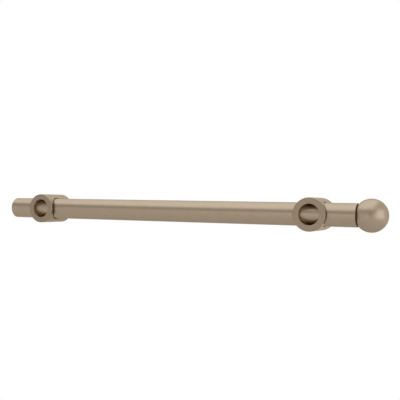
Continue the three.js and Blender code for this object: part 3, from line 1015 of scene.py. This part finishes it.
def moulded(name, dark, light, roughness, grain_mm, gloss):
    """Moulded nylon or rubber: a fine even grain and a faint mottle."""
    nodes = Nodes(name)
    point = nodes.object_point()
    mottle = nodes.noise(point, **MOULD_MOTTLE)
    grain = nodes.noise(point, 1 / grain_mm, **MOULD_GRAIN)
    nodes.join(
        nodes.shade(nodes.between(mottle, TONE_RANGE), dark, light),
        nodes.shader.inputs["Base Color"],
    )
    nodes.join(
        nodes.between(grain, ROUGHNESS_RANGE, around(roughness, MOULD_ROUGHNESS_SPREAD)),
        nodes.shader.inputs["Roughness"],
    )
    nodes.join(
        nodes.bump(grain, MOULD_RELIEF_MM, MOULD_RELIEF_STRENGTH), nodes.shader.inputs["Normal"],
    )
    nodes.shader.inputs["Specular IOR Level"].default_value = gloss
    return nodes.material


# The object

def dress():
    """Makes every piece with its finish and body. The slot in the table's last column is not used.
    """
    tube_finish = satin_nickel("satin_nickel_tube", TUBE_COLOUR, TUBE_EDGE_TINT, "X", AXIS)
    ball_finish = satin_nickel("satin_nickel_ball", TUBE_COLOUR, TUBE_EDGE_TINT, "X", AXIS)
    steel_on_axis = plated_steel("plated_steel_on_axis", "X", AXIS)
    black_nylon = moulded("black_nylon", **BLACK_NYLON)
    pale_nylon = moulded("pale_nylon", **PALE_NYLON)
    black_rubber = moulded("black_rubber", **BLACK_RUBBER)

    for side in ("rear", "front"):
        post, mounting = side + "_post", side + "_mounting_screw"
        setting, ring = side + "_set_screw", side + "_friction_ring"
        low, high = box_mm(post)
        centre = ((low[0] + high[0]) / 2, 0, 0)
        # Within the bore's radius the post's finish carries painted light, a paler and less
        # metallic colour
        post_finish = satin_nickel(
            f"satin_nickel_{side}_post", POST_COLOUR, POST_EDGE_TINT, "Y", centre,
            POST_BORE_RADIUS + SUPPORT,
        )
        steel = plated_steel(f"plated_steel_{side}_screw", "Y", centre)
        make_piece(post, post_grids(post), post_finish, "housing")
        make_piece(mounting, mounting_screw_grids(mounting), steel, "housing")
        make_piece(setting, set_screw_grids(setting), steel_on_axis, "housing")
        make_piece(ring, friction_ring_grids(ring), black_rubber, "slider")

    washer = ring_grids("pivot_washer", SLIDER_BORE_RADIUS, SMALL_ROUND)
    rear_insert = insert_grids("rear_insert", REAR_INSERT_BORE_RADIUS)
    front_insert = insert_grids("front_insert", FRONT_INSERT_BORE_RADIUS)
    inner_rod = ring_grids("inner_rod", ROD_BORE_RADIUS, SMALL_ROUND)
    for name, grids, material, body, slot in (
        ("outer_tube", outer_tube_grids(), tube_finish, "housing", "satin_nickel"),
        ("guide_bush", guide_bush_grids(), black_nylon, "housing", "black_nylon"),
        ("rear_plug", rear_plug_grids(), black_nylon, "housing", "black_nylon"),
        ("slider", slider_grids(), pale_nylon, "slider", "pale_nylon"),
        ("stop_buffer", stop_buffer_grids(), black_rubber, "slider", "black_rubber"),
        ("pivot_screw", pivot_screw_grids(), steel_on_axis, "rod", "plated_steel"),
        ("pivot_washer", washer, steel_on_axis, "rod", "plated_steel"),
        ("rear_insert", rear_insert, steel_on_axis, "rod", "plated_steel"),
        ("front_insert", front_insert, steel_on_axis, "rod", "plated_steel"),
        ("knob_stud", knob_stud_grids(), steel_on_axis, "rod", "plated_steel"),
        ("inner_rod", inner_rod, tube_finish, "rod", "satin_nickel"),
        ("ball_knob", ball_knob_grids(), ball_finish, "rod", "satin_nickel"),
    ):
        make_piece(name, grids, material, body)


# Floor, lamps, cards and camera

def add_floor():
    """A pale disc far below the rod that fades to the white surroundings at its rim."""
    angles = even_angles(TURN_STEPS)
    rim = FLOOR_RADIUS * np.stack([np.cos(angles), np.sin(angles), 0 * angles], -1)
    points = np.concatenate([np.zeros((1, 3)), rim]) + np.array([0, 0, FLOOR_Z])
    after = np.roll(np.arange(TURN_STEPS), -1) + 1
    faces = np.stack([0 * after, np.arange(TURN_STEPS) + 1, after], -1)
    mesh = bpy.data.meshes.new("floor")
    mesh.from_pydata(points, [], faces.tolist())
    nodes = Nodes("pale_floor")
    place = nodes.add("ShaderNodeTexCoord").outputs["Object"]
    level = nodes.add("ShaderNodeVectorMath", operation="MULTIPLY")
    level.inputs[1].default_value = (1, 1, 0)
    nodes.join(place, level.inputs[0])
    distance = nodes.add("ShaderNodeVectorMath", operation="LENGTH")
    nodes.join(level.outputs[0], distance.inputs[0])
    fade = nodes.between(distance.outputs["Value"], (FLOOR_FADE_FROM, FLOOR_RADIUS))
    nodes.shader.inputs["Base Color"].default_value = (*FLOOR_COLOUR, 1)
    nodes.shader.inputs["Roughness"].default_value = FLOOR_ROUGHNESS
    nodes.shader.inputs["Specular IOR Level"].default_value = 0.0
    white = nodes.add("ShaderNodeEmission")
    mixed = nodes.add("ShaderNodeMixShader")
    nodes.join(fade, mixed.inputs[0])
    nodes.join(nodes.shader.outputs[0], mixed.inputs[1])
    nodes.join(white.outputs[0], mixed.inputs[2])
    nodes.join(mixed.outputs[0], nodes.tree.nodes["Material Output"].inputs["Surface"])
    mesh.materials.append(nodes.material)
    floor = bpy.data.objects.new("floor", mesh)
    bpy.context.scene.collection.objects.link(floor)


def add_world():
    """White to the camera and to metal, softer as a light."""
    world = bpy.data.worlds.new("studio")
    bpy.context.scene.world = world
    world.use_nodes = True
    tree = world.node_tree
    soft = tree.nodes["Background"]
    soft.inputs["Color"].default_value = (1, 1, 1, 1)
    soft.inputs["Strength"].default_value = DIFFUSE_WORLD
    white = tree.nodes.new("ShaderNodeBackground")
    white.inputs["Color"].default_value = (1, 1, 1, 1)
    path = tree.nodes.new("ShaderNodeLightPath")
    seen = path.outputs["Is Camera Ray"]
    for name in ("Is Glossy Ray", "Is Transmission Ray"):
        either = tree.nodes.new("ShaderNodeMath")
        either.operation = "MAXIMUM"
        tree.links.new(seen, either.inputs[0])
        tree.links.new(path.outputs[name], either.inputs[1])
        seen = either.outputs[0]
    mixed = tree.nodes.new("ShaderNodeMixShader")
    tree.links.new(seen, mixed.inputs[0])
    tree.links.new(soft.outputs[0], mixed.inputs[1])
    tree.links.new(white.outputs[0], mixed.inputs[2])
    tree.links.new(mixed.outputs[0], tree.nodes["World Output"].inputs["Surface"])


def add_softbox(name, place, target, size, radiance, colour):
    """An area light that faces its target. Its power is radiance * pi * area, so that its face is
    that bright."""
    light = bpy.data.lights.new(name, "AREA")
    light.shape = "RECTANGLE"
    light.size, light.size_y = size
    light.energy = radiance * np.pi * size[0] * size[1]
    light.color = colour
    lamp = bpy.data.objects.new(name, light)
    bpy.context.scene.collection.objects.link(lamp)
    lamp.location = place
    lamp.rotation_euler = (Vector(target) - Vector(place)).to_track_quat("-Z", "Y").to_euler()


def add_card(name, turns, heights, grey, ramp=None):
    """A curved grey card, which only reflections see: x = r sin(turn), y = -r cos(turn), with the
    turn measured from -Y towards +X. It has one grey, or with a ramp its grey goes from the first
    to the second over the ramp's heights."""
    turn = np.radians(np.linspace(*turns, CARD_STEPS))
    height = np.array(heights)[:, None]
    x, y = CARD_RADIUS * np.sin(turn), -CARD_RADIUS * np.cos(turn)
    points = np.stack(np.broadcast_arrays(x, y, height), -1)
    mesh = bpy.data.meshes.new(name)
    mesh.from_pydata(points.reshape(-1, 3), [], grid_faces(2, len(turn), False, False).tolist())
    nodes = Nodes(name)
    glow = nodes.add("ShaderNodeEmission")
    if ramp:
        split = nodes.add("ShaderNodeSeparateXYZ")
        nodes.join(nodes.object_point(), split.inputs[0])
        heights_mm = [height_m / MM for height_m in ramp]
        nodes.join(nodes.between(split.outputs["Z"], heights_mm, grey), glow.inputs["Strength"])
    else:
        glow.inputs["Strength"].default_value = grey
    nodes.join(glow.outputs[0], nodes.tree.nodes["Material Output"].inputs["Surface"])
    mesh.materials.append(nodes.material)
    card = bpy.data.objects.new(name, mesh)
    bpy.context.scene.collection.objects.link(card)
    card.visible_camera = False
    card.visible_shadow = False
    card.visible_diffuse = False


def add_camera():
    """The camera at the photograph's place, measured from the ball's middle: yaw turns it to the
    left of +Y, pitch tips it down and roll turns it about its own view."""
    yaw, pitch, roll = np.radians([CAMERA_YAW, CAMERA_PITCH, CAMERA_ROLL])
    ahead = np.array([-np.sin(yaw), np.cos(yaw), 0])
    right = np.array([np.cos(yaw), np.sin(yaw), 0])
    view = ahead * np.cos(pitch) - Z * np.sin(pitch)
    above = Z * np.cos(pitch) + ahead * np.sin(pitch)
    side = right * np.cos(roll) + above * np.sin(roll)
    top = above * np.cos(roll) - right * np.sin(roll)
    data = bpy.data.cameras.new("photo_camera")
    data.sensor_width = SENSOR_MM
    data.lens = CAMERA_FOCAL_PX * SENSOR_MM / PHOTO_PX
    data.clip_start = CAMERA_NEAR
    camera = bpy.data.objects.new("photo_camera", data)
    turn = Matrix(np.stack([side, top, -view], axis=1).tolist()).to_4x4()
    low, high = box_mm("ball_knob")
    ball = np.array([high[0] - (high[2] - low[2]) / 2, AXIS[1], AXIS[2]])
    place = Vector((ball + CAMERA_FROM_BALL_MM) * MM)
    camera.matrix_world = Matrix.Translation(place) @ turn
    bpy.context.scene.collection.objects.link(camera)
    bpy.context.scene.camera = camera


dress()
add_floor()
add_world()
for lamp in LAMPS:
    add_softbox(*lamp)
add_card("band_card", BAND_TURNS, BAND_HEIGHTS, BAND_GREYS, BAND_RAMP)
add_card("rear_card", REAR_TURNS, REAR_HEIGHTS, REAR_GREY)
add_card("shade_card", SHADE_TURNS, SHADE_HEIGHTS, SHADE_GREY)
add_camera()
bpy.context.scene.view_settings.view_transform = "Standard"
